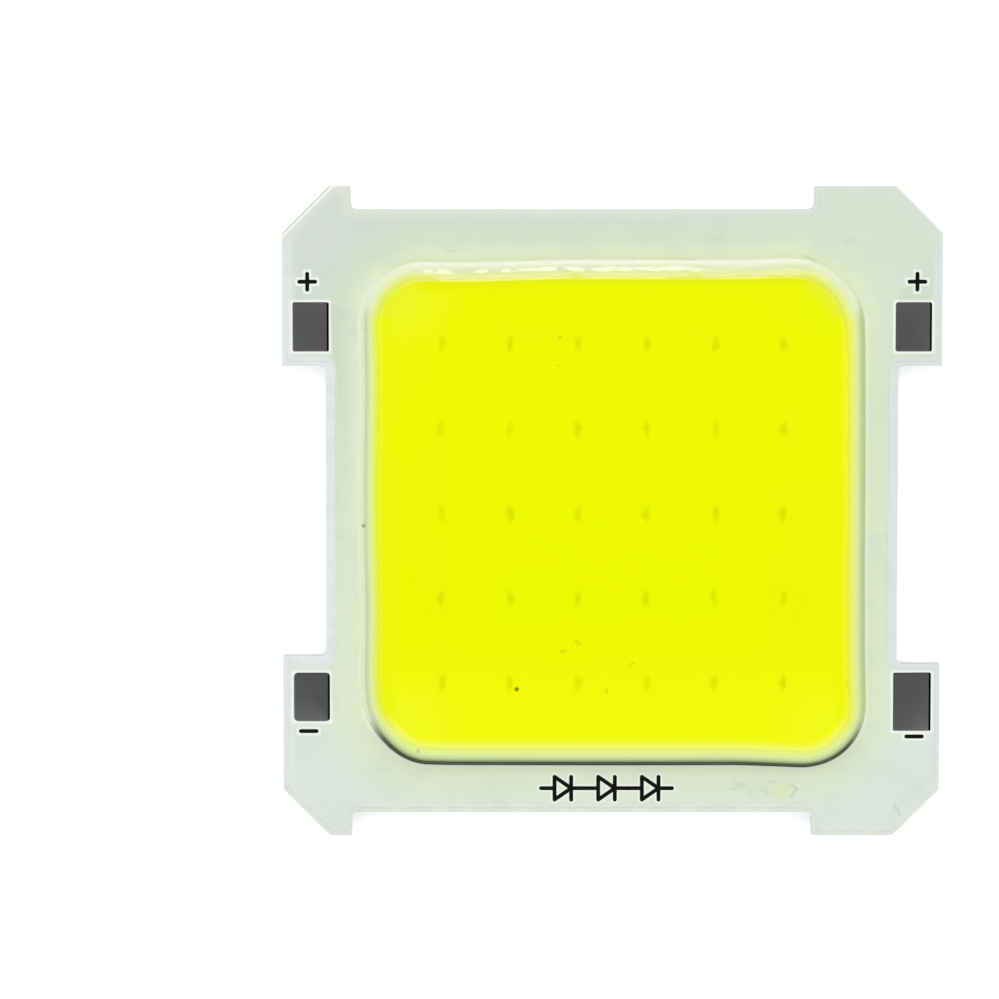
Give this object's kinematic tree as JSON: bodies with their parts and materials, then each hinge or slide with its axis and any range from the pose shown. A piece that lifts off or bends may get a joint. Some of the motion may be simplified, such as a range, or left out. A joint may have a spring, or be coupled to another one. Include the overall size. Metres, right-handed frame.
{
  "type": "cob led",
  "caption": "Flat square LED module: a notched aluminium board with corner solder pads and a yellow phosphor light field inside a white silicone dam.",
  "frame": {"origin": "centre of the flat back face, under the middle of the board", "axes": "+Z out of the light field, square to the board; +Y towards the end with the positive pads; +X towards the side with the wide end tabs"},
  "size_m": [0.041, 0.0406, 0.0021],
  "materials": {
    "aluminium": "punched sheet, satin",
    "insulator": "pale filled resin, satin",
    "copper": "etched copper under the mask",
    "white_mask": "white coat with a green cast, satin",
    "tinned_pad": "dull grey tin",
    "black_ink": "screen-printed ink",
    "white_silicone": "glossy white silicone, yellow where it meets the gel",
    "phosphor_silicone": "glossy yellow phosphor silicone",
    "die_glue": "cured die glue",
    "led_die": "sapphire die",
    "gold_wire": "bright drawn gold"
  },
  "bodies": {
    "root": {"base_plate": "aluminium", "insulating_layer": "insulator", "copper_positive": "copper", "copper_negative": "copper", "solder_mask": "white_mask", "silicone_dam": "white_silicone", "phosphor_gel": "phosphor_silicone", "die_glue": "die_glue", "diode_symbols": "black_ink", "pad_plus_left": "tinned_pad", "mark_plus_left": "black_ink", "pad_plus_right": "tinned_pad", "mark_plus_right": "black_ink", "pad_minus_left": "tinned_pad", "mark_minus_left": "black_ink", "pad_minus_right": "tinned_pad", "mark_minus_right": "black_ink", "led_die_r1c1": "led_die", "led_die_r1c2": "led_die", "led_die_r1c3": "led_die", "led_die_r1c4": "led_die", "led_die_r1c5": "led_die", "led_die_r1c6": "led_die", "led_die_r2c1": "led_die", "led_die_r2c2": "led_die", "led_die_r2c3": "led_die", "led_die_r2c4": "led_die", "led_die_r2c5": "led_die", "led_die_r2c6": "led_die", "led_die_r3c1": "led_die", "led_die_r3c2": "led_die", "led_die_r3c3": "led_die", "led_die_r3c4": "led_die", "led_die_r3c5": "led_die", "led_die_r3c6": "led_die", "led_die_r4c1": "led_die", "led_die_r4c2": "led_die", "led_die_r4c3": "led_die", "led_die_r4c4": "led_die", "led_die_r4c5": "led_die", "led_die_r4c6": "led_die", "led_die_r5c1": "led_die", "led_die_r5c2": "led_die", "led_die_r5c3": "led_die", "led_die_r5c4": "led_die", "led_die_r5c5": "led_die", "led_die_r5c6": "led_die", "bond_wires_1": "gold_wire", "bond_wires_2": "gold_wire", "bond_wires_3": "gold_wire", "bond_wires_4": "gold_wire", "bond_wires_5": "gold_wire", "bond_wires_6": "gold_wire"}
  },
  "joints": []
}
